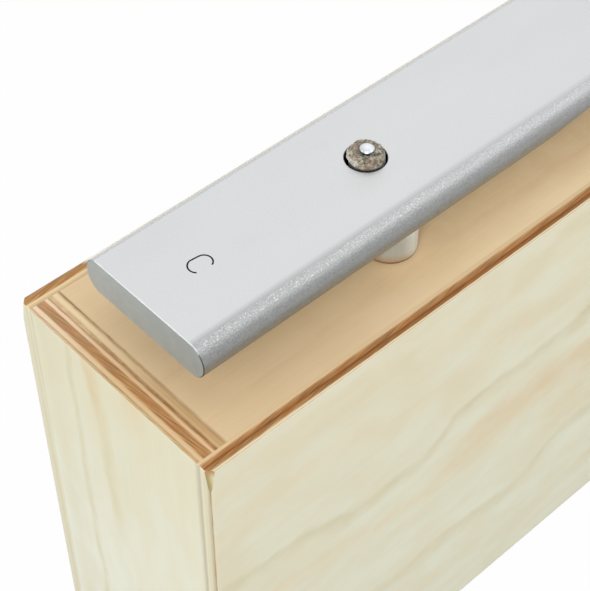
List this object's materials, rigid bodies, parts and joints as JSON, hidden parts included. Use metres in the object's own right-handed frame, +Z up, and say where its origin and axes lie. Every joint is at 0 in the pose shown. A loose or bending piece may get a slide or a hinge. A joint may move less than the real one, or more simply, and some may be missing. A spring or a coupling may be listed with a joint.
{
  "type": "chime bar",
  "caption": "Aluminium tone bar with an undercut, resting on rubber buffers and felt-sleeved pins over a tall closed plywood resonator box with a sound hole under the bar.",
  "frame": {"origin": "middle of the footprint, at the level of the surface that the feet stand on", "axes": "+X along the box, away from the end with the pitch letter, +Y across it to the back panel, +Z up"},
  "size_m": [0.492, 0.1, 0.2531],
  "materials": {
    "bar_aluminium": "fine satin, blasted",
    "wool_felt": "pressed, mottled",
    "pin_steel": "polished",
    "buffer_rubber": "matt",
    "top_plywood": "fine, clear lacquer",
    "side_plywood": "pine veneer, clear lacquer",
    "end_plywood": "pine veneer, clear lacquer",
    "solid_wood": "planed",
    "foot_rubber": "matt",
    "screw_steel": "zinc plated"
  },
  "bodies": {
    "box": {"bar_pin_left": "pin_steel", "bar_pin_right": "pin_steel", "bottom_batten_back": "solid_wood", "bottom_batten_front": "solid_wood", "bottom_plate": "side_plywood", "corner_post_left_back": "solid_wood", "corner_post_left_front": "solid_wood", "corner_post_right_back": "solid_wood", "corner_post_right_front": "solid_wood", "end_panel_left": "end_plywood", "end_panel_right": "end_plywood", "end_strip_left": "solid_wood", "end_strip_right": "solid_wood", "felt_sleeve_left": "wool_felt", "felt_sleeve_right": "wool_felt", "foot_left_back": "foot_rubber", "foot_left_front": "foot_rubber", "foot_right_back": "foot_rubber", "foot_right_front": "foot_rubber", "foot_screws": "screw_steel", "pin_block_left": "solid_wood", "pin_block_right": "solid_wood", "rest_buffer_left_back": "buffer_rubber", "rest_buffer_left_front": "buffer_rubber", "rest_buffer_right_back": "buffer_rubber", "rest_buffer_right_front": "buffer_rubber", "side_panel_back": "side_plywood", "side_panel_front": "side_plywood", "top_batten_back": "solid_wood", "top_batten_front": "solid_wood", "top_plate": "top_plywood"},
    "bar": {"tone_bar": "bar_aluminium"}
  },
  "joints": [
    {"name": "bar_lift", "type": "slide", "parent": "box", "child": "bar", "axis": [0, 0, 1], "range_m": [0, 0.03]}
  ]
}
